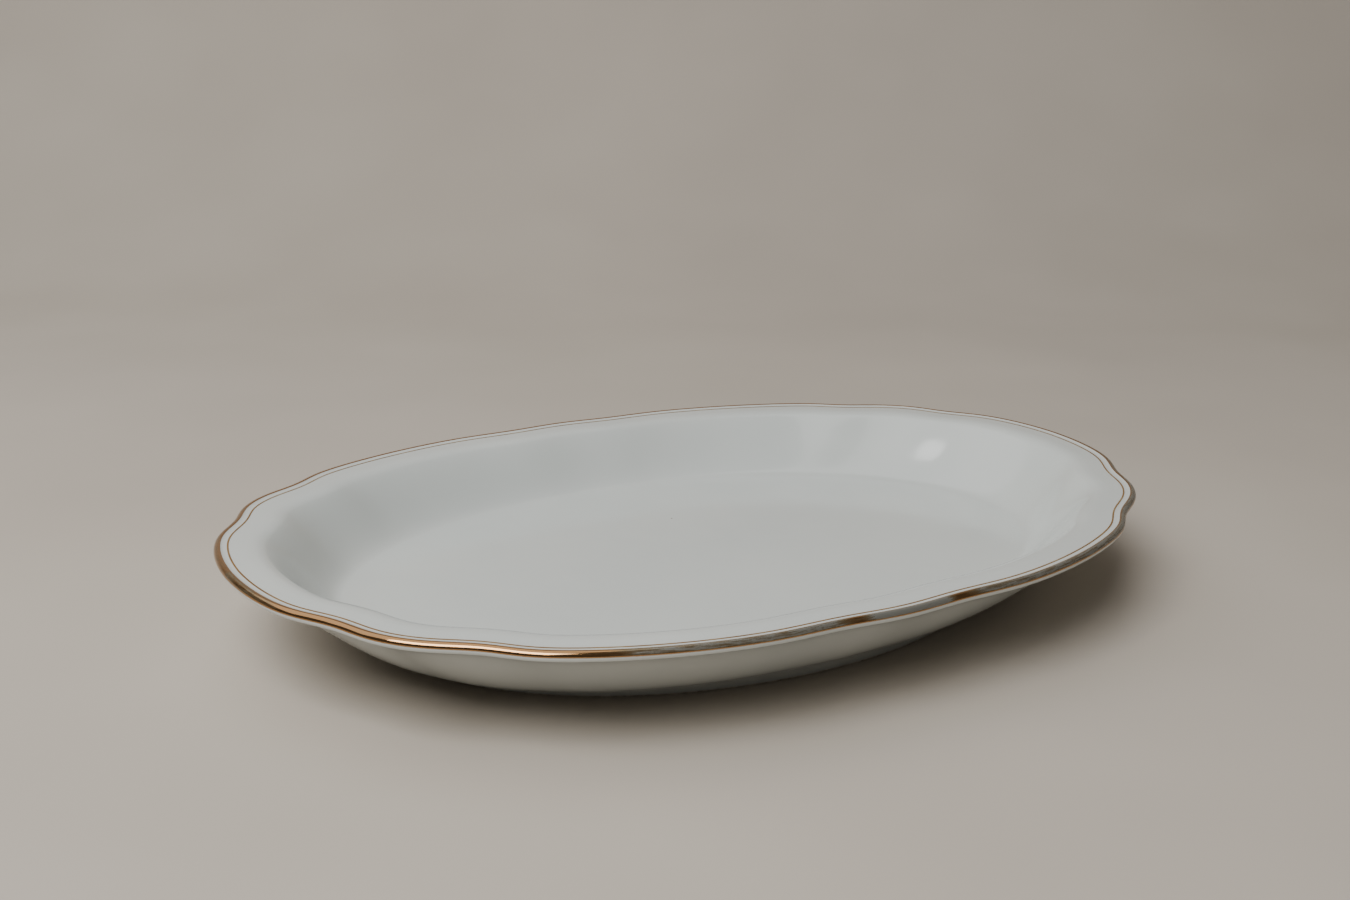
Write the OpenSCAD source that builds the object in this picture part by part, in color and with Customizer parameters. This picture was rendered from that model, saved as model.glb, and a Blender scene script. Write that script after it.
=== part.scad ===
// Oval china serving platter with a scalloped rim, a gilded edge and a gilded hairline.
// The long axis lies along X, the short axis along Y, and the foot ring stands on Z = 0.

/* [Plan] */
// Length from tip to tip
length = 360; // [320:5:400]
// Width across the middle
width = 250; // [235:5:275]
// Fullness of the oval, where 2 is a true ellipse
oval_power = 2.12; // [2:0.02:2.4]
// How far the long sides are drawn in from that oval
side_draw = 8; // [0:1:12]
// How far along the rim that drawing in reaches
side_draw_reach = 140; // [100:5:180]

/* [Scalloped rim] */
// Bearing of the first notch from the long axis, in degrees
first_notch_at = 18; // [15:1:21]
// Bearing of the second notch, across the corner lobe
second_notch_at = 34; // [31:1:38]
// Depth of the notches on each side of a corner lobe
corner_notch_depth = 2.8; // [0:0.2:4]
// Reach of a corner notch along the rim
corner_notch_reach = 13.5; // [11:0.5:16]
// Bearing of the notches on each side of the middle lobe
middle_notch_at = 79; // [76:1:82]
// Depth of the notches on each side of the middle lobe
middle_notch_depth = 1.8; // [0:0.2:3]
// Reach of a middle notch along the rim
middle_notch_reach = 20; // [14:1:24]

/* [Section] */
// Height of the rim at the middle of the long sides
rim_height = 37.5; // [33:0.5:42]
// How much higher the rim stands at the two ends
end_lift = 3; // [0:0.5:4]
// Thickness of the rolled lip
lip_thickness = 2.9; // [2.5:0.1:3.3]
// Width of the rolled lip from its crown out, seen from above
lip_width = 1.3; // [1:0.1:1.6]
// How far the lip's crown stands above the border
lip_rise = 0.5; // [0.2:0.1:0.7]
// How far in from its crown the lip rolls down to the border
lip_roll = 1.1; // [0.9:0.1:1.4]
// Width of the shallow border between the edge and the wall
border_width = 15; // [13:0.5:17]
// Length of the well's flat floor
well_length = 278; // [270:2:280]
// Width of the well's flat floor
well_width = 182; // [176:2:184]
// Height of the well's floor above the table
floor_height = 15; // [14.5:0.5:17]

/* [Foot ring] */
// Length of the foot ring where it stands on the table
foot_length = 245; // [240:1:248]
// Width of the foot ring where it stands on the table
foot_width = 166; // [161:1:169]
// Height of the foot ring at the middle of the long sides
foot_height = 6; // [5:0.5:6]
// How much lower the foot ring is at the two ends
foot_end_drop = 3; // [1:0.5:3]
// How far the foot ring flares outwards from the table up
foot_flare = 2.8; // [1:0.2:3]
// Width of the bare ring that touches the table
foot_land = 2.6; // [2:0.2:4]
// Height of the hollow inside the foot ring
hollow_height = 9; // [8:0.5:9.5]

/* [Glaze and gold] */
// Thickness of the glaze
glaze_thickness = 0.3; // [0.2:0.05:0.4]
// How far above the table the glaze is wiped off the foot ring
glaze_stop = 0.8; // [0.6:0.1:1.2]
// Thickness of the gilding
gold_thickness = 0.1; // [0.05:0.05:0.15]
// Distance from the edge to the gilded band's inner side
band_inset = 2.3; // [2.1:0.1:2.6]
// Distance from the edge to the middle of the gilded hairline
hairline_inset = 4.7; // [4.4:0.1:5.2]
// Width of the gilded hairline
hairline_width = 0.6; // [0.5:0.1:0.8]

/* [Hidden] */

SEGMENTS = 112; // steps round the rim, a multiple of four so that the tips are exact
TURN_STEP = 0.4; // degrees either side of a point, used to find the rim's direction there
half_length = length / 2;
half_width = width / 2;
skin = glaze_thickness + gold_thickness;
glaze = glaze_thickness;
bare = 0;

// Slopes at the top and the bottom of the two wall curves, as shares of the straight line
inner_start = 0.6;
inner_end = 0.05;
outer_start = 0.5;
outer_end = 0.25;
inner_steps = 6;
outer_steps = 5;

// Turns round the rolled lip, in degrees: 90 is its crown, 0 its outermost line. On the inner side
// it runs down to the flat border, which it has nearly reached at lip_foot_inset.
crown_turns = [90, 60, 30];
band_end_turn = 3;
under_turns = [-20, -48, -75];
lip_foot_inset = 3;

// Distance of an ellipse from its centre, on bearing b
function ellipse_reach(b, a1, a2) = 1 / sqrt(pow(cos(b) / a1, 2) + pow(sin(b) / a2, 2));

// The same for the fuller oval of the rim, before it is notched and drawn in. It is larger by what
// the dips still take off at the tips and at the middle of the sides, so both sizes come out true.
function dip_at(turn, reach, arm) = exp(-pow(turn * PI / 180 * arm / reach, 2));
drawn_side = half_width + side_draw;
half_side = drawn_side
    + 2 * middle_notch_depth * dip_at(90 - middle_notch_at, middle_notch_reach, drawn_side);
half_tip = half_length + side_draw * dip_at(90, side_draw_reach, half_side);
function rim_oval(b) =
    pow(pow(abs(cos(b)) / half_tip, oval_power) + pow(abs(sin(b)) / half_side, oval_power), -1 / oval_power);

// The depth left, from 1 to 0, of a soft dip centred on bearing c and mirrored in both axes
function dips(b, c, reach) =
    let (arm = rim_oval(c))
    dip_at(b - c, reach, arm) + dip_at(b + c, reach, arm) + dip_at(180 - c - b, reach, arm);

// Distance of the finished rim from the centre: the oval less its notches and the drawn-in sides
function rim_reach(b) =
    let (quarter = acos(min(1, abs(cos(b)))))
    rim_oval(b)
        - corner_notch_depth * dips(quarter, first_notch_at, corner_notch_reach)
        - corner_notch_depth * dips(quarter, second_notch_at, corner_notch_reach)
        - middle_notch_depth * dips(quarter, middle_notch_at, middle_notch_reach)
        - side_draw * dip_at(90 - quarter, side_draw_reach, half_side);

function on_bearing(b, reach) = reach * [cos(b), sin(b)];

// A point at a given distance inside the finished rim, measured square to it
function rim_point(b) = on_bearing(b, rim_reach(b));
function inside_rim(b, inset) =
    let (run = rim_point(b + TURN_STEP) - rim_point(b - TURN_STEP))
    rim_point(b) + inset * [-run.y, run.x] / norm(run);

// Height of the rim on a bearing, lifting towards the two ends
function rim_top(b) = rim_height + end_lift * pow(cos(b), 6);
function foot_top(b) = foot_height - foot_end_drop * pow(cos(b), 2);

// A curve from 0 to 1 with chosen slopes at its two ends
function ease(w, start, finish) =
    w * w * (3 - 2 * w) + start * w * pow(1 - w, 2) - finish * w * w * (1 - w);

// Bearings of the sections, spaced as evenly as an ellipse of the platter's size spaces them
BEARINGS = [for (i = [0:SEGMENTS - 1])
    let (t = 360 * i / SEGMENTS) atan2(half_width * sin(t), half_length * cos(t))];

// Rings of points. coat is how far the surface stands out from the bare porcelain.
function oval_ring(a1, a2, z) =
    [for (b = BEARINGS) let (p = on_bearing(b, ellipse_reach(b, a1, a2))) [p.x, p.y, z]];

function border_drop(inset) = lip_rise * (1 - exp(-pow((inset - skin - lip_width) / lip_roll, 2)));
function border_ring(inset, coat) =
    [for (b = BEARINGS)
        let (p = inside_rim(b, inset)) [p.x, p.y, rim_top(b) - border_drop(inset) - skin + coat]];

function lip_ring(turn, coat) =
    let (inset = skin + lip_width - (lip_width + coat) * cos(turn),
        drop = skin + lip_thickness / 2 - (lip_thickness / 2 + coat) * sin(turn))
    [for (b = BEARINGS) let (p = inside_rim(b, inset)) [p.x, p.y, rim_top(b) - drop]];

function inner_wall_ring(w, coat) =
    let (g = ease(w, inner_start, inner_end))
    [for (b = BEARINGS)
        let (p = (1 - w) * inside_rim(b, border_width)
                + w * on_bearing(b, ellipse_reach(b, well_length / 2, well_width / 2)))
        [p.x, p.y, (1 - g) * (rim_top(b) - lip_rise) + g * floor_height - skin + coat]];

// The lip's last ring is where the outer wall starts
last_turn = under_turns[len(under_turns) - 1];
wall_inset = skin + lip_width * (1 - cos(last_turn));
wall_drop = skin + lip_thickness / 2 * (1 - sin(last_turn));

function outer_wall_ring(w, coat) =
    let (g = ease(w, outer_start, outer_end),
        a1 = foot_length / 2 + foot_flare + coat,
        a2 = foot_width / 2 + foot_flare + coat)
    [for (b = BEARINGS)
        let (p = (1 - w) * inside_rim(b, wall_inset) + w * on_bearing(b, ellipse_reach(b, a1, a2)))
        [p.x, p.y, (1 - g) * (rim_top(b) - wall_drop) + g * foot_top(b) - coat]];

// The foot ring's flared outer face, at a height above the table
function foot_face_ring(z, coat) =
    [for (b = BEARINGS)
        let (out = foot_flare * z / foot_top(b) + coat,
            p = on_bearing(b, ellipse_reach(b, foot_length / 2 + out, foot_width / 2 + out)))
        [p.x, p.y, z]];

// The foot ring's inner face and the fillet into the hollow
function hollow_ring(inset, z) = oval_ring(foot_length / 2 - inset, foot_width / 2 - inset, z);

fillet = 1.6;
function hollow_rings(coat) = [
    hollow_ring(foot_land + 0.2 + coat, glaze_stop),
    hollow_ring(foot_land + 0.8 + coat, hollow_height - fillet),
    hollow_ring(foot_land + 0.8 + fillet, hollow_height - coat)
];

// Everything from the foot ring's outer face, over the lip, to the well's floor
function lip_rings(turns, coat) = [for (t = turns) lip_ring(t, coat)];
function band_edge_rings(coat) = [border_ring(band_inset, coat)];
function hairline_rings(coat) =
    [for (side = [-1, 1]) border_ring(hairline_inset + side * hairline_width / 2, coat)];

function coated_rings(coat) = concat(
    [foot_face_ring(glaze_stop, coat)],
    [for (i = [outer_steps:-1:1]) outer_wall_ring(i / outer_steps, coat)],
    [for (i = [len(under_turns) - 1:-1:0]) lip_ring(under_turns[i], coat)],
    [lip_ring(band_end_turn, coat)],
    [for (i = [len(crown_turns) - 1:-1:0]) lip_ring(crown_turns[i], coat)],
    band_edge_rings(coat),
    [border_ring(lip_foot_inset, coat)],
    hairline_rings(coat),
    [for (i = [0:inner_steps]) inner_wall_ring(i / inner_steps, coat)]
);

function reversed(list) = [for (i = [len(list) - 1:-1:0]) list[i]];
function flattened(list) = [for (part = list) each part];

// Triangles between ring k and the next one on the list
function strip(k, next_k) = [
    for (i = [0:SEGMENTS - 1])
        let (j = (i + 1) % SEGMENTS)
        each [
            [k * SEGMENTS + i, next_k * SEGMENTS + i, next_k * SEGMENTS + j],
            [k * SEGMENTS + i, next_k * SEGMENTS + j, k * SEGMENTS + j]
        ]
];

// A closed solid from rings that start round one point on the axis and end round another
module solid_between(first_point, rings, last_point) {
    count = len(rings);
    first = count * SEGMENTS;
    last = first + 1;
    polyhedron(
        points = concat(flattened(rings), [first_point, last_point]),
        faces = concat(
            [for (i = [0:SEGMENTS - 1]) [first, i, (i + 1) % SEGMENTS]],
            [for (k = [0:count - 2]) each strip(k, k + 1)],
            [for (i = [0:SEGMENTS - 1])
                [last, (count - 1) * SEGMENTS + (i + 1) % SEGMENTS, (count - 1) * SEGMENTS + i]]
        ),
        convexity = 6
    );
}

// A closed band from rings whose last one joins the first
module solid_loop(rings) {
    count = len(rings);
    polyhedron(
        points = flattened(rings),
        faces = [for (k = [0:count - 1]) each strip(k, (k + 1) % count)],
        convexity = 6
    );
}

// The fired clay: well, wall, scalloped border, rolled lip and foot ring in one casting
module porcelain_body() {
    color("gainsboro")
        solid_between(
            [0, 0, hollow_height],
            concat(
                reversed(hollow_rings(bare)),
                [hollow_ring(foot_land, 0), hollow_ring(0, 0)],
                coated_rings(bare)
            ),
            [0, 0, floor_height - skin]
        );
}

// The glaze that covers the upper side and runs over the lip, down to the foot ring
module glaze_coat() {
    color("white")
        solid_between(
            [0, 0, floor_height - skin],
            concat(reversed(coated_rings(bare)), coated_rings(glaze)),
            [0, 0, floor_height - skin + glaze]
        );
}

// The glaze pooled inside the foot ring, cut off from the rest by the bare standing ring
module under_foot_glaze() {
    color("whitesmoke")
        solid_between(
            [0, 0, hollow_height - glaze],
            concat(reversed(hollow_rings(glaze)), hollow_rings(bare)),
            [0, 0, hollow_height]
        );
}

// The wide band of gold, brushed over the lip from the border to just above its widest line
module gilded_edge_band() {
    function band_rings(coat) =
        concat([lip_ring(band_end_turn, coat)], lip_rings(reversed(crown_turns), coat), band_edge_rings(coat));
    color("darkgoldenrod")
        solid_loop(concat(reversed(band_rings(glaze)), band_rings(skin)));
}

// The fine gold line drawn round the border, just inside the band
module gilded_hairline() {
    color("goldenrod")
        solid_loop(concat(reversed(hairline_rings(glaze)), hairline_rings(skin)));
}

porcelain_body();
glaze_coat();
under_foot_glaze();
gilded_edge_band();
gilded_hairline();
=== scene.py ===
# Oval china serving platter: slip-cast porcelain under a cool white glaze, with a gilded lip and a
# gilded hairline inside it. Lengths are written in millimetres and placed in metres.
import math

import bmesh
import bpy
from mathutils import Matrix, Vector


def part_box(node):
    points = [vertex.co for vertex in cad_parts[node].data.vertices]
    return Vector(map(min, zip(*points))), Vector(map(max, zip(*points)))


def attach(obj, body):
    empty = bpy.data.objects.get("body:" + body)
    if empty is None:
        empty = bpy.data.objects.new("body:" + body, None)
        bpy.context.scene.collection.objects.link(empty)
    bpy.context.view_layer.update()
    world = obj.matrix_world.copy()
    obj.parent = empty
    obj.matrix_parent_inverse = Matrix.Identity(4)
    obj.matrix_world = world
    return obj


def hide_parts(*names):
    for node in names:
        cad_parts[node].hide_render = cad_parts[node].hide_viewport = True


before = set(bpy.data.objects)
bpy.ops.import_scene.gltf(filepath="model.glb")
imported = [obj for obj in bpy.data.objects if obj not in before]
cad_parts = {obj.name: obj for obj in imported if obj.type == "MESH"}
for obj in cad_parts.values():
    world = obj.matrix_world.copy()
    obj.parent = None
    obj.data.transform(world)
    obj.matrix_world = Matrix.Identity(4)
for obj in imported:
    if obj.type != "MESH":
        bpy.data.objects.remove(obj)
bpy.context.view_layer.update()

MM = 0.001

# ---- Camera ----
# A short telephoto on a tripod, looking down across the platter from its near left. It leans by under
# a degree, as a hand-levelled tripod head does.
CAMERA_PLACE = Vector((-293.0, -473.4, 218.9)) * MM
CAMERA_HEADING = math.radians(-30.64)
CAMERA_TILT = math.radians(90 - 16.26)
CAMERA_LEAN = math.radians(0.74)
LENS, SENSOR_WIDTH = 41.27, 36

camera_data = bpy.data.cameras.new("camera")
camera_data.lens = LENS
camera_data.sensor_width = SENSOR_WIDTH
camera = bpy.data.objects.new("camera", camera_data)
camera.matrix_world = (
    Matrix.Translation(CAMERA_PLACE)
    @ Matrix.Rotation(CAMERA_HEADING, 4, "Z")
    @ Matrix.Rotation(CAMERA_TILT, 4, "X")
    @ Matrix.Rotation(CAMERA_LEAN, 4, "Z")
)
bpy.context.scene.collection.objects.link(camera)
bpy.context.scene.camera = camera

# ---- Bare porcelain body ----
# The fired clay, cast in one piece: flat well, sloping wall, scalloped border, rolled lip and foot ring.
# Glaze covers all of it but the narrow ring that the platter stands on, which is left as bare biscuit.
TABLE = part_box("porcelain_body")[0].z / MM
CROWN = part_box("gilded_edge_band")[1].z / MM
HALF_LENGTH = 180.0
HALF_WIDTH = 125.0
OVAL_POWER = 2.12
SIDE_DRAW, SIDE_DRAW_REACH = 8.0, 140.0
CORNER_NOTCHES = (18, 34)
CORNER_NOTCH_DEPTH, CORNER_NOTCH_REACH = 2.8, 13.5
MIDDLE_NOTCH = 79
MIDDLE_NOTCH_DEPTH, MIDDLE_NOTCH_REACH = 1.8, 20.0
END_LIFT = 3.0
RIM_HEIGHT = CROWN - END_LIFT
LIP_THICKNESS, LIP_WIDTH = 2.9, 1.3
LIP_RISE, LIP_ROLL = 0.5, 1.1
BORDER_WIDTH = 15.0
# Slopes at the top and the bottom of each wall, as shares of the straight line between them
INNER_WALL_SLOPES = (0.6, 0.05)
OUTER_WALL_SLOPES = (0.5, 0.25)
WELL_REACH = (139.0, 91.0)
FLOOR_HEIGHT = TABLE + 15.0
FOOT_REACH = (122.5, 83.0)
FOOT_HEIGHT, FOOT_END_DROP, FOOT_FLARE = 6.0, 3.0, 2.8
FOOT_LAND = 2.6
FOOT_INNER_LEAN = (0.2, 0.8)
HOLLOW_HEIGHT, HOLLOW_FILLET = 9.0, 1.6
GLAZE, GOLD = 0.3, 0.1
SKIN = GLAZE + GOLD
GLAZE_STOP = 0.8
LAST_LIP_TURN = -75
STEPS_ROUND = 384


def dip(turn, reach, arm):
    """How much is left, from 1 to 0, of a soft dip at a turn of so many degrees from its middle."""
    return math.exp(-((math.radians(turn) * arm / reach) ** 2))


drawn_side = HALF_WIDTH + SIDE_DRAW
half_side = drawn_side + 2 * MIDDLE_NOTCH_DEPTH * dip(90 - MIDDLE_NOTCH, MIDDLE_NOTCH_REACH, drawn_side)
half_tip = HALF_LENGTH + SIDE_DRAW * dip(90, SIDE_DRAW_REACH, half_side)


def rim_oval(bearing):
    """Reach of the full oval, before it is notched and its long sides are drawn in."""
    along = abs(math.cos(math.radians(bearing))) / half_tip
    across = abs(math.sin(math.radians(bearing))) / half_side
    return (along ** OVAL_POWER + across ** OVAL_POWER) ** (-1 / OVAL_POWER)


def notches(bearing, centre, reach):
    """The same notch on this quarter of the rim and on its neighbours."""
    arm = rim_oval(centre)
    return sum(dip(turn, reach, arm) for turn in (bearing - centre, bearing + centre, 180 - centre - bearing))


def rim_point(bearing):
    """The rim's outermost line, seen from above."""
    east = math.cos(math.radians(bearing))
    north = math.sin(math.radians(bearing))
    quarter = math.degrees(math.acos(min(1.0, abs(east))))
    reach = rim_oval(bearing)
    for centre in CORNER_NOTCHES:
        reach -= CORNER_NOTCH_DEPTH * notches(quarter, centre, CORNER_NOTCH_REACH)
    reach -= MIDDLE_NOTCH_DEPTH * notches(quarter, MIDDLE_NOTCH, MIDDLE_NOTCH_REACH)
    reach -= SIDE_DRAW * dip(90 - quarter, SIDE_DRAW_REACH, half_side)
    return Vector((reach * east, reach * north))


# The rim at each step round the platter: its bearing, its point, the way in from it, and its height
rim_steps = []
for step in range(STEPS_ROUND):
    turn = math.tau * step / STEPS_ROUND
    bearing = math.degrees(math.atan2(HALF_WIDTH * math.sin(turn), HALF_LENGTH * math.cos(turn)))
    run = (rim_point(bearing + 0.4) - rim_point(bearing - 0.4)).normalized()
    height = RIM_HEIGHT + END_LIFT * math.cos(math.radians(bearing)) ** 6
    rim_steps.append((bearing, rim_point(bearing), Vector((-run.y, run.x)), height))


def inside_rim(step, inset):
    return rim_steps[step][1] + inset * rim_steps[step][2]


def on_ellipse(step, reach, outset=0.0):
    bearing = math.radians(rim_steps[step][0])
    stretch = math.hypot(math.cos(bearing) / (reach[0] + outset), math.sin(bearing) / (reach[1] + outset))
    return Vector((math.cos(bearing), math.sin(bearing))) / stretch


def ease(share, start, finish):
    """A curve from 0 to 1 with chosen slopes at its two ends."""
    rest = 1 - share
    return share * share * (3 - 2 * share) + start * share * rest * rest - finish * share * share * rest


# Lines round the platter. Each gives its point at a step, and coat is how far it stands off the clay.
def border_line(step, inset, coat):
    drop = LIP_RISE * (1 - math.exp(-(((inset - SKIN - LIP_WIDTH) / LIP_ROLL) ** 2)))
    return (*inside_rim(step, inset), rim_steps[step][3] - drop - SKIN + coat)


def lip_line(step, turn, coat):
    """turn is 90 degrees on the lip's crown and 0 on its outermost line."""
    inset = SKIN + LIP_WIDTH - (LIP_WIDTH + coat) * math.cos(math.radians(turn))
    drop = SKIN + LIP_THICKNESS / 2 - (LIP_THICKNESS / 2 + coat) * math.sin(math.radians(turn))
    return (*inside_rim(step, inset), rim_steps[step][3] - drop)


def inner_wall_line(step, share, coat):
    plan = inside_rim(step, BORDER_WIDTH).lerp(on_ellipse(step, WELL_REACH), share)
    fall = ease(share, *INNER_WALL_SLOPES)
    top = rim_steps[step][3] - LIP_RISE
    return (*plan, top + (FLOOR_HEIGHT - top) * fall - SKIN + coat)


def well_line(step, share, coat):
    """share is 0 where the floor meets the wall and 1 in the middle."""
    return (*(on_ellipse(step, WELL_REACH) * (1 - share)), FLOOR_HEIGHT - SKIN + coat)


def foot_top(step):
    return TABLE + FOOT_HEIGHT - FOOT_END_DROP * math.cos(math.radians(rim_steps[step][0])) ** 2


def outer_wall_line(step, share, coat):
    last_turn = math.radians(LAST_LIP_TURN)
    inset = SKIN + LIP_WIDTH * (1 - math.cos(last_turn))
    top = rim_steps[step][3] - SKIN - LIP_THICKNESS / 2 * (1 - math.sin(last_turn))
    plan = inside_rim(step, inset).lerp(on_ellipse(step, FOOT_REACH, FOOT_FLARE + coat), share)
    fall = ease(share, *OUTER_WALL_SLOPES)
    return (*plan, top + (foot_top(step) - top) * fall - coat)


def foot_face_line(step, height, coat):
    outset = FOOT_FLARE * (height - TABLE) / (foot_top(step) - TABLE) + coat
    return (*on_ellipse(step, FOOT_REACH, outset), height)


def foot_line(step, inset, height):
    return (*on_ellipse(step, FOOT_REACH, -inset), height)


def hollow_middle(step, height):
    return (0, 0, height)


def spun_piece(name, lines, closed=False):
    """Spins a chain of points once round, then lays each ring that comes of it on its own line."""
    mesh = bmesh.new()
    chain = [mesh.verts.new((number + 1, 0, 0)) for number in range(len(lines))]
    edges = [mesh.edges.new(pair) for pair in zip(chain, chain[1:])]
    if closed:
        edges.append(mesh.edges.new((chain[-1], chain[0])))
    bmesh.ops.spin(
        mesh, geom=chain + edges, cent=(0, 0, 0), axis=(0, 0, 1),
        angle=math.tau, steps=STEPS_ROUND, use_merge=True,
    )
    # How far each ring lies across the piece, from 0 on its first line to 1 on its last
    across = mesh.verts.layers.float.new("across")
    for vert in mesh.verts:
        step = round(math.atan2(vert.co.y, vert.co.x) / math.tau * STEPS_ROUND) % STEPS_ROUND
        number = round(math.hypot(vert.co.x, vert.co.y)) - 1
        line, *settings = lines[number]
        vert[across] = number / (len(lines) - 1)
        vert.co = Vector(line(step, *settings)) * MM
    bmesh.ops.remove_doubles(mesh, verts=mesh.verts, dist=0.001 * MM)
    bmesh.ops.recalc_face_normals(mesh, faces=mesh.faces)
    for face in mesh.faces:
        face.smooth = True
    data = bpy.data.meshes.new(name)
    mesh.to_mesh(data)
    mesh.free()
    data.set_sharp_from_angle(angle=math.radians(50))
    piece = bpy.data.objects.new(name, data)
    bpy.context.scene.collection.objects.link(piece)
    return piece


def steps_between(first, last, count):
    """count even steps from first to last, both ends included."""
    return [first + (last - first) * number / (count - 1) for number in range(count)]


def upper_lines(coat):
    """From the foot ring's outer face, up the outer wall, over the lip, and down to the well's middle."""
    lines = [(foot_face_line, TABLE + GLAZE_STOP, coat)]
    lines += [(foot_face_line, TABLE + height, coat) for height in (1.6, 2.4)]
    lines += [(outer_wall_line, share, coat) for share in steps_between(1.0, 0.04, 16)]
    lines += [(lip_line, turn, coat) for turn in steps_between(LAST_LIP_TURN, 90, 23)]
    lines += [(border_line, inset, coat) for inset in steps_between(1.9, 4.2, 9)]
    lines += [(border_line, inset, coat) for inset in (4.4, 5.0, 7.0, 10.0, 13.0)]
    # The wall's first ring lies just past the shoulder, which rounds it off
    lines += [(inner_wall_line, share, coat) for share in steps_between(0.05, 1.0, 20)]
    lines += [(well_line, share, coat) for share in steps_between(0.1, 1.0, 7)]
    return lines


def hollow_lines(coat):
    """The foot ring's inner face, its fillet, and the hollow's ceiling."""
    height = TABLE + HOLLOW_HEIGHT
    lines = [(foot_line, FOOT_LAND + FOOT_INNER_LEAN[0] + coat, TABLE + GLAZE_STOP)]
    lines += [(foot_line, FOOT_LAND + FOOT_INNER_LEAN[1] + coat, height - HOLLOW_FILLET)]
    for turn in (30, 60, 90):
        bend = HOLLOW_FILLET - coat
        inset = FOOT_LAND + FOOT_INNER_LEAN[1] + coat + bend * (1 - math.cos(math.radians(turn)))
        lines.append((foot_line, inset, height - HOLLOW_FILLET + bend * math.sin(math.radians(turn))))
    lines += [(foot_line, inset, height - coat) for inset in (20, 45)]
    lines.append((hollow_middle, height - coat))
    return lines


body_lines = hollow_lines(0)[::-1]
body_lines += [(foot_line, inset, TABLE) for inset in (FOOT_LAND, 1.3, 0)]
body_lines += upper_lines(0)
body = spun_piece("bare_porcelain_body", body_lines)


def linear(hex_colour):
    """An sRGB hex colour as the linear colour that a shader takes."""
    shares = [int(hex_colour[place:place + 2], 16) / 255 for place in (1, 3, 5)]
    return (*[s / 12.92 if s <= 0.04045 else ((s + 0.055) / 1.055) ** 2.4 for s in shares], 1.0)


def add_node(material, kind, settings, inputs):
    """Adds a node with its settings. An input is given a value, or linked to another node's output."""
    node = material.node_tree.nodes.new(kind)
    for name, value in settings.items():
        setattr(node, name, value)
    for name, value in inputs.items():
        if isinstance(value, bpy.types.NodeSocket):
            material.node_tree.links.new(value, node.inputs[name])
        else:
            node.inputs[name].default_value = value
    return node


def add_ramp(material, source, stops):
    """A colour ramp from a source, with its stops as places and hex colours."""
    ramp = add_node(material, "ShaderNodeValToRGB", {}, {"Fac": source})
    elements = ramp.color_ramp.elements
    while len(elements) < len(stops):
        elements.new(0.5)
    for element, (place, colour) in zip(elements, stops):
        element.position = place
        element.color = linear(colour)
    return ramp.outputs["Color"]


def new_material(name, settings):
    """A material with a Principled shader, the shader's own sockets set, and where the pattern lies."""
    material = bpy.data.materials.new(name)
    material.use_nodes = True
    shader = material.node_tree.nodes["Principled BSDF"]
    for socket, value in settings.items():
        shader.inputs[socket].default_value = value
    place = add_node(material, "ShaderNodeTexCoord", {}, {}).outputs["Object"]
    return material, shader, place


# Biscuit: hard white clay fired without glaze. It is dry and chalky, and the table has greyed it in
# scuffs about 4 mm long.
biscuit, shader, place = new_material("biscuit_porcelain", {"Roughness": 0.7, "IOR": 1.5})
scuffs = add_node(
    biscuit, "ShaderNodeTexNoise", {},
    {"Vector": place, "Scale": 1 / (4 * MM), "Detail": 5.0, "Roughness": 0.6}
)
colour = add_ramp(biscuit, scuffs.outputs["Fac"], [(0.35, "#A8A296"), (0.55, "#CFCABF"), (0.8, "#DAD6CC")])
biscuit.node_tree.links.new(colour, shader.inputs["Base Color"])
grain = add_node(
    biscuit, "ShaderNodeTexNoise", {},
    {"Vector": place, "Scale": 1 / (0.4 * MM), "Detail": 3.0},
)
bump = add_node(
    biscuit, "ShaderNodeBump", {}, {"Height": grain.outputs["Fac"], "Strength": 0.4, "Distance": 0.05 * MM}
)
biscuit.node_tree.links.new(bump.outputs["Normal"], shader.inputs["Normal"])

body.data.materials.append(biscuit)
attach(body, "root")
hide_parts("porcelain_body")

# ---- Glaze coat ----
# Clear feldspathic glaze over the white clay, dipped on and fired until it runs smooth. It covers the
# upper side and wraps the lip, and is wiped off just above the table.
glaze = spun_piece("dipped_glaze_coat", upper_lines(0)[::-1] + upper_lines(GLAZE))

# Porcelain glaze: a glassy skin, cool white with a breath of green. Its surface rolls very slightly over
# 18 mm or so, which softens what it mirrors, and a few iron specks from the clay show through.
glazed, shader, place = new_material("porcelain_glaze", {"Roughness": 0.13, "IOR": 1.5})
clouds = add_node(
    glazed, "ShaderNodeTexNoise", {},
    {"Vector": place, "Scale": 1 / (60 * MM), "Detail": 3.0},
)
tint = add_ramp(glazed, clouds.outputs["Fac"], [(0.3, "#CDD2CF"), (0.7, "#D3D7D3")])
specks = add_node(
    glazed, "ShaderNodeTexVoronoi", {},
    {"Vector": place, "Scale": 1 / (30 * MM), "Randomness": 1.0},
)
speck_edge = add_ramp(glazed, specks.outputs["Distance"], [(0.008, "#7A6A50"), (0.014, "#FFFFFF")])
mix = add_node(
    glazed, "ShaderNodeMixRGB", {"blend_type": "MULTIPLY"},
    {"Fac": 1.0, "Color1": tint, "Color2": speck_edge}
)
glazed.node_tree.links.new(mix.outputs["Color"], shader.inputs["Base Color"])
ripple = add_node(
    glazed, "ShaderNodeTexNoise", {},
    {"Vector": place, "Scale": 1 / (18 * MM), "Detail": 1.0},
)
bump = add_node(
    glazed, "ShaderNodeBump", {}, {"Height": ripple.outputs["Fac"], "Strength": 1.0, "Distance": 0.12 * MM}
)
glazed.node_tree.links.new(bump.outputs["Normal"], shader.inputs["Normal"])

glaze.data.materials.append(glazed)
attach(glaze, "root")
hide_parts("glaze_coat")

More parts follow.
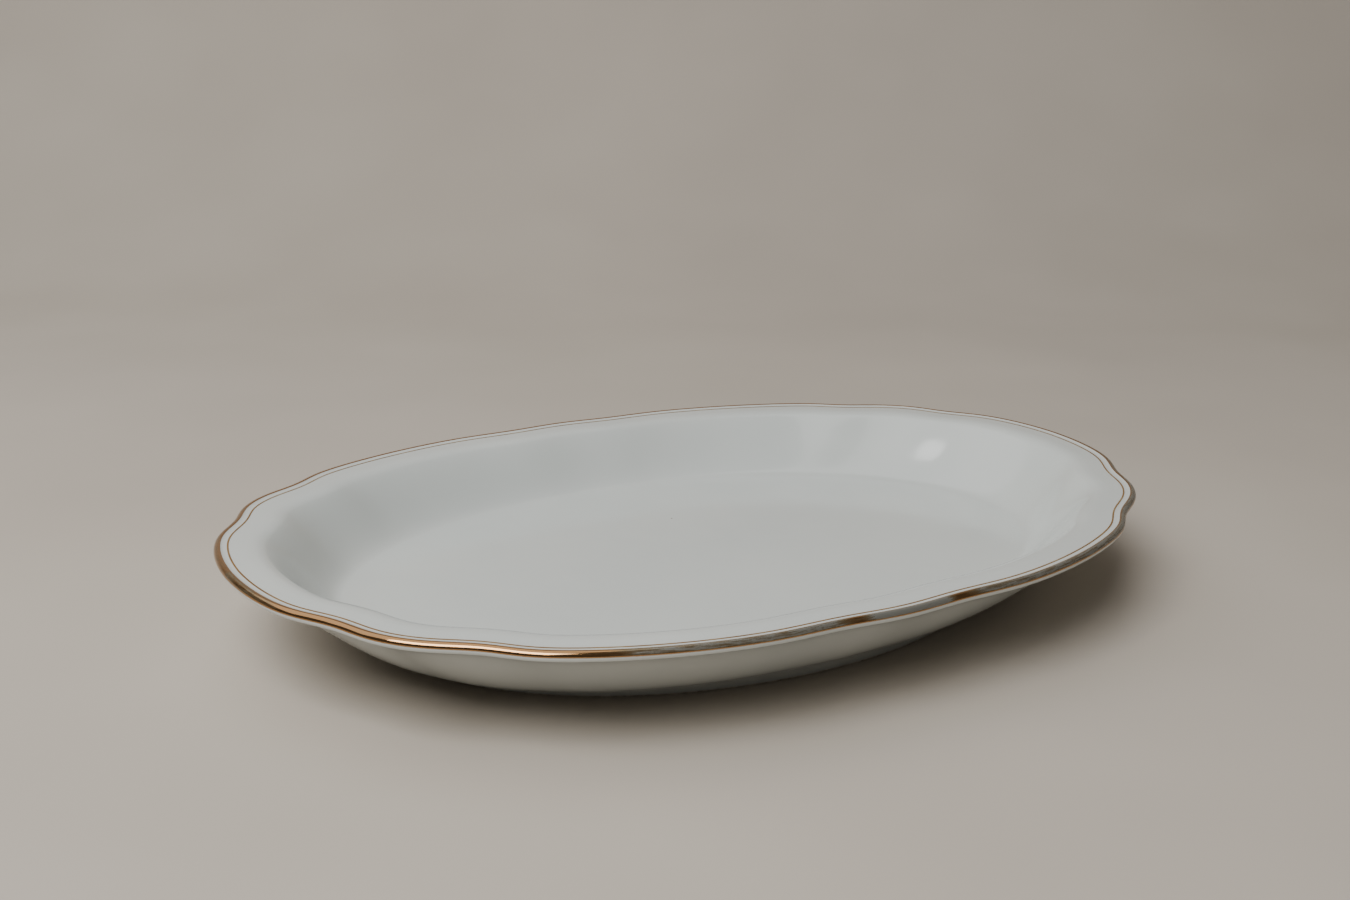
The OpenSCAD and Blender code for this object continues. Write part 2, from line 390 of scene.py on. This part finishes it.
# ---- Glaze under the foot ring ----
# The same glaze, pooled in the shallow hollow inside the foot ring and cut off from the rest by the bare
# standing ring.
under_glaze = spun_piece("foot_hollow_glaze", hollow_lines(GLAZE)[::-1] + hollow_lines(0))
under_glaze.data.materials.append(glazed)
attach(under_glaze, "root")
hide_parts("under_foot_glaze")

# ---- Gilded edge band ----
# Liquid bright gold, brushed over the lip on a turntable and fired on at about 800 degrees. Washing and
# stacking have rubbed it, most on the crown of the lip and along one long side.
BAND_INSET = 2.3
BAND_END_TURN = 3


def band_lines(coat):
    lines = [(lip_line, turn, coat) for turn in steps_between(BAND_END_TURN, 90, 14)]
    return lines + [(border_line, inset, coat) for inset in (1.9, 2.1, BAND_INSET)]


band = spun_piece("gold_edge_band", band_lines(GLAZE)[::-1] + band_lines(SKIN), closed=True)

# How far the gold is rubbed away on each bearing round the rim: black is whole, white is worn through.
RUBBED = [
    (180, "#B4B4B4"), (190, "#A8A8A8"), (194, "#303030"),
    (226, "#202020"), (231, "#D0D0D0"), (258, "#D8D8D8"),
    (261, "#606060"), (264, "#F0F0F0"), (277, "#F0F0F0"),
    (280, "#505050"), (284, "#D4D4D4"), (338, "#DCDCDC"),
    (360, "#B0B0B0"), (380, "#808080"), (450, "#707070"), (538, "#A0A0A0"),
]

# Where the band is open to rubbing, from its lower edge to its inner edge. Gold lasts along both edges.
OPEN_ACROSS = [(0.52, "#202020"), (0.60, "#FFFFFF"), (0.90, "#FFFFFF"), (0.97, "#303030")]

STREAK_LENGTH, FLECK_SIZE = 6.0, 1.2
STREAKS_ACROSS = 14.0

# Bright gold: a mirror-like film, deep bronze where it is whole. Where hands and stacked plates have
# rubbed it, it thins to a dull silver grey in streaks about 6 mm long and flecks about 1 mm across.
gilding, shader, place = new_material("bright_gold", {"IOR": 1.5})
parts = add_node(gilding, "ShaderNodeSeparateXYZ", {}, {"Vector": place})
bearing = add_node(
    gilding, "ShaderNodeMath", {"operation": "ARCTAN2"}, {0: parts.outputs["Y"], 1: parts.outputs["X"]}
)
round_rim = add_node(
    gilding, "ShaderNodeMapRange", {},
    {"Value": bearing.outputs["Value"], "From Min": -math.pi, "From Max": math.pi},
)
rubbed = add_ramp(gilding, round_rim.outputs["Result"], [((turn - 180) / 360, grey) for turn, grey in RUBBED])
across = add_node(gilding, "ShaderNodeAttribute", {"attribute_name": "across"}, {}).outputs["Fac"]
exposed = add_ramp(gilding, across, OPEN_ACROSS)
along = add_node(
    gilding, "ShaderNodeVectorMath", {"operation": "SCALE"},
    {"Vector": place, "Scale": 1 / (STREAK_LENGTH * MM)}
)
along_parts = add_node(gilding, "ShaderNodeSeparateXYZ", {}, {"Vector": along.outputs["Vector"]})
turns_across = add_node(
    gilding, "ShaderNodeMath", {"operation": "MULTIPLY"},
    {0: across, 1: STREAKS_ACROSS},
)
streak_place = add_node(
    gilding, "ShaderNodeCombineXYZ", {},
    {"X": along_parts.outputs["X"], "Y": along_parts.outputs["Y"], "Z": turns_across.outputs["Value"]},
)
streaks = add_node(
    gilding, "ShaderNodeTexNoise", {},
    {"Vector": streak_place.outputs["Vector"], "Scale": 1.0, "Detail": 3.0}
)
flecks = add_node(
    gilding, "ShaderNodeTexNoise", {},
    {"Vector": place, "Scale": 1 / (FLECK_SIZE * MM), "Detail": 4.0, "Roughness": 0.6},
)
breakup = add_node(
    gilding, "ShaderNodeMix", {"data_type": "FLOAT"},
    {"Factor": 0.18, "A": streaks.outputs["Fac"], "B": flecks.outputs["Fac"]},
)
open_rub = add_node(gilding, "ShaderNodeMath", {"operation": "MULTIPLY"}, {0: rubbed, 1: exposed})
worn_sum = add_node(
    gilding, "ShaderNodeMath", {"operation": "ADD"},
    {0: open_rub.outputs["Value"], 1: breakup.outputs["Result"]}
)
worn = add_node(
    gilding, "ShaderNodeMapRange", {},
    {"Value": worn_sum.outputs["Value"], "From Min": 0.75, "From Max": 1.25}
).outputs["Result"]
colour = add_ramp(gilding, worn, [(0.0, "#B88E62"), (0.5, "#8F7C5E"), (1.0, "#919088")])
metal = add_node(gilding, "ShaderNodeMapRange", {}, {"Value": worn, "To Min": 1.0, "To Max": 0.6})
dullness = add_node(gilding, "ShaderNodeMapRange", {}, {"Value": worn, "To Min": 0.1, "To Max": 0.3})
gilding.node_tree.links.new(colour, shader.inputs["Base Color"])
gilding.node_tree.links.new(metal.outputs["Result"], shader.inputs["Metallic"])
gilding.node_tree.links.new(dullness.outputs["Result"], shader.inputs["Roughness"])

band.data.materials.append(gilding)
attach(band, "root")
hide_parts("gilded_edge_band")

# ---- Gilded hairline ----
# One fine line of the same gold, drawn with a pointed brush round the border, just inside the lip.
HAIRLINE_INSET, HAIRLINE_WIDTH = 4.7, 0.6


def hairline_lines(coat):
    return [(border_line, HAIRLINE_INSET + side * HAIRLINE_WIDTH / 2, coat) for side in (-1, 0, 1)]


hairline = spun_piece("gold_hairline", hairline_lines(GLAZE)[::-1] + hairline_lines(SKIN), closed=True)

# Brushed gold: the fine line is thinner and browner than the band, and its strength comes and goes with
# the load on the brush over about 9 mm.
fine_gold, shader, place = new_material("brushed_gold", {"Metallic": 0.45, "Roughness": 0.4})
load = add_node(
    fine_gold, "ShaderNodeTexNoise", {},
    {"Vector": place, "Scale": 1 / (9 * MM), "Detail": 4.0},
)
colour = add_ramp(fine_gold, load.outputs["Fac"], [(0.35, "#8A6434"), (0.6, "#A07A46"), (0.75, "#B29A70")])
fine_gold.node_tree.links.new(colour, shader.inputs["Base Color"])
hairline.data.materials.append(fine_gold)
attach(hairline, "root")
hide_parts("gilded_hairline")

# ---- Table, backdrop and light ----
# A roll of pale warm-grey cloth, laid flat under the platter and swept up behind it.
SWEEP_WIDTH = 5000.0
SWEEP_FRONT, SWEEP_BACK = -2500.0, 520.0
SWEEP_RADIUS, SWEEP_TOP = 500.0, 2200.0

sweep_mesh = bmesh.new()
left = sweep_mesh.verts.new((-SWEEP_WIDTH / 2 * MM, SWEEP_FRONT * MM, TABLE * MM))
right = sweep_mesh.verts.new((SWEEP_WIDTH / 2 * MM, SWEEP_FRONT * MM, TABLE * MM))
edge = sweep_mesh.edges.new((left, right))
flat = bmesh.ops.extrude_edge_only(sweep_mesh, edges=[edge])["geom"]
moved = [part for part in flat if isinstance(part, bmesh.types.BMVert)]
bmesh.ops.translate(sweep_mesh, verts=moved, vec=(0, (SWEEP_BACK - SWEEP_FRONT) * MM, 0))
last_edge = [part for part in flat if isinstance(part, bmesh.types.BMEdge)]
curve = bmesh.ops.spin(
    sweep_mesh, geom=moved + last_edge, cent=(0, SWEEP_BACK * MM, (TABLE + SWEEP_RADIUS) * MM),
    axis=(1, 0, 0), angle=math.radians(90), steps=24,
)["geom_last"]
wall = bmesh.ops.extrude_edge_only(
    sweep_mesh, edges=[part for part in curve if isinstance(part, bmesh.types.BMEdge)]
)["geom"]
bmesh.ops.translate(
    sweep_mesh, verts=[part for part in wall if isinstance(part, bmesh.types.BMVert)],
    vec=(0, 0, (SWEEP_TOP - SWEEP_RADIUS) * MM),
)
bmesh.ops.recalc_face_normals(sweep_mesh, faces=sweep_mesh.faces)
for face in sweep_mesh.faces:
    face.smooth = True
bmesh.ops.rotate(
    sweep_mesh, verts=sweep_mesh.verts, cent=(0, 0, 0), matrix=Matrix.Rotation(CAMERA_HEADING, 3, "Z")
)
sweep_data = bpy.data.meshes.new("sweep")
sweep_mesh.to_mesh(sweep_data)
sweep_mesh.free()
sweep = bpy.data.objects.new("sweep", sweep_data)
bpy.context.scene.collection.objects.link(sweep)
cloth, shader, place = new_material("pale_cloth", {"Roughness": 0.95, "IOR": 1.4})
# The cloth's colour drifts slightly at random over about 160 mm.
cloth_tone = add_node(cloth, "ShaderNodeTexNoise", {}, {"Vector": place, "Scale": 1 / (160 * MM), "Detail": 2.0})
colour = add_ramp(cloth, cloth_tone.outputs["Fac"], [(0.3, "#BDB4A8"), (0.7, "#C3BAAE")])
cloth.node_tree.links.new(colour, shader.inputs["Base Color"])
sweep_data.materials.append(cloth)

# Two soft boxes, placed as the camera sees them: bearings run anticlockwise from the camera's right. The
# window panel stands at the front left and throws the shadow to the right. The other hangs overhead.
WINDOW_BEARING, WINDOW_LIFT, WINDOW_DISTANCE = 242, 49, 1350.0
WINDOW_SIZE, WINDOW_POWER = (860.0, 660.0), 15.0
TOP_PLACE = Vector((-700.0, 200.0, 1450.0))
TOP_SIZE, TOP_POWER = (2200.0, 2000.0), 16.0


def soft_box(name, place, size, power):
    """A rectangular light at a place in the camera's own directions, turned to face the platter."""
    data = bpy.data.lights.new(name, "AREA")
    data.shape = "RECTANGLE"
    data.size, data.size_y = size[0] * MM, size[1] * MM
    data.energy = power
    light = bpy.data.objects.new(name, data)
    spot = Matrix.Rotation(CAMERA_HEADING, 3, "Z") @ place
    light.matrix_world = Matrix.Translation(spot * MM) @ spot.to_track_quat("Z", "Y").to_matrix().to_4x4()
    bpy.context.scene.collection.objects.link(light)


window_turn, window_lift = math.radians(WINDOW_BEARING), math.radians(WINDOW_LIFT)
window_place = WINDOW_DISTANCE * Vector((
    math.cos(window_turn) * math.cos(window_lift),
    math.sin(window_turn) * math.cos(window_lift),
    math.sin(window_lift),
))
soft_box("window_light", window_place, WINDOW_SIZE, WINDOW_POWER)
soft_box("overhead_light", TOP_PLACE, TOP_SIZE, TOP_POWER)

room = bpy.data.worlds.new("room")
room.use_nodes = True
room.node_tree.nodes["Background"].inputs["Color"].default_value = linear("#B9B6B2")
room.node_tree.nodes["Background"].inputs["Strength"].default_value = 0.2
bpy.context.scene.world = room
